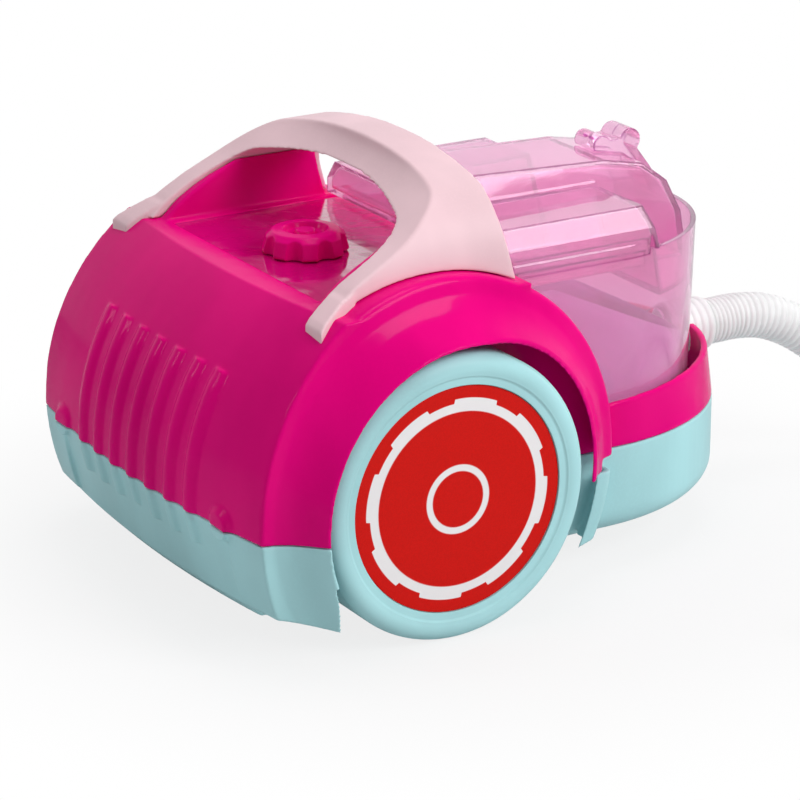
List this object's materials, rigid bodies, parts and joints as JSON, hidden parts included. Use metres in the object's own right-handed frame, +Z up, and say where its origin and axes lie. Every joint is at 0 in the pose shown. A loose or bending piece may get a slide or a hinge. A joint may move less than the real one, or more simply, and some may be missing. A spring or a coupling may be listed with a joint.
{
  "type": "toy vacuum cleaner",
  "caption": "Toy canister vacuum cleaner: a bowed two-tone body on large side wheels, with an arched carry handle, a clear lift-out dust bin and a ribbed hose.",
  "frame": {"origin": "on the floor, under the middle of the body's length and width, hose left out", "axes": "+X to the right wheel as the toy travels nose first, +Y to the bowed rear, +Z up"},
  "size_m": [0.3118, 0.4612, 0.178],
  "materials": {
    "aqua_plastic": "satin moulded",
    "magenta_plastic": "glossy moulded",
    "pale_plastic": "satin moulded",
    "deck_plastic": "polished",
    "dark_plastic": "matt",
    "clear_pink": "clear tinted",
    "seal_rubber": "matt",
    "white_plastic": "matt",
    "steel": "zinc plated",
    "disc_print": "printed film",
    "hose_plastic": "milky, half clear",
    "cell_wrap": "plain wrap"
  },
  "bodies": {
    "chassis": {"base_tray": "aqua_plastic", "upper_shell": "magenta_plastic", "handle": "pale_plastic", "deck_panel": "deck_plastic", "power_switch": "dark_plastic", "bin_seal": "seal_rubber", "motor": "steel", "motor_bracket": "white_plastic", "fan_duct": "white_plastic", "axle": "steel", "axle_cap_right": "steel", "axle_cap_left": "steel", "hose_collar": "hose_plastic", "hose": "hose_plastic", "hose_connector": "aqua_plastic", "battery_door": "aqua_plastic", "door_screw": "steel", "battery_cells": "cell_wrap", "battery_contacts": "steel", "case_screws": "steel"},
    "bin": {"bin_cup": "clear_pink", "bin_lid": "clear_pink", "bin_latch": "clear_pink", "filter_screen": "white_plastic"},
    "knob": {"knob": "magenta_plastic"},
    "fan": {"fan_wheel": "aqua_plastic", "motor_shaft": "steel"},
    "right_wheel": {"wheel_right": "aqua_plastic", "disc_right": "disc_print"},
    "left_wheel": {"wheel_left": "aqua_plastic", "disc_left": "disc_print"},
    "caster": {"caster_fork": "aqua_plastic", "caster_pin": "steel"},
    "caster_roller": {"caster_wheel": "dark_plastic"}
  },
  "joints": [
    {"name": "wheel_right_spin", "type": "hinge", "parent": "chassis", "child": "right_wheel", "pos_m": [0.089, 0.047, 0.0585], "axis": [1, 0, 0], "continuous": true},
    {"name": "wheel_left_spin", "type": "hinge", "parent": "chassis", "child": "left_wheel", "pos_m": [-0.089, 0.047, 0.0585], "axis": [1, 0, 0], "continuous": true},
    {"name": "caster_swivel", "type": "hinge", "parent": "chassis", "child": "caster", "pos_m": [0, -0.081, 0.015], "axis": [0, 0, 1], "continuous": true},
    {"name": "caster_roll", "type": "hinge", "parent": "caster", "child": "caster_roller", "pos_m": [0, -0.074, 0.0055], "axis": [1, 0, 0], "continuous": true},
    {"name": "knob_turn", "type": "hinge", "parent": "chassis", "child": "knob", "pos_m": [0, 0.057, 0.135], "axis": [0, 0, 1], "range_deg": [0, 90]},
    {"name": "bin_lift", "type": "slide", "parent": "chassis", "child": "bin", "axis": [0, 0, 1], "range_m": [0, 0.12]},
    {"name": "fan_spin", "type": "hinge", "parent": "chassis", "child": "fan", "pos_m": [0, 0.016, 0.092], "axis": [0, 1, 0], "continuous": true}
  ]
}
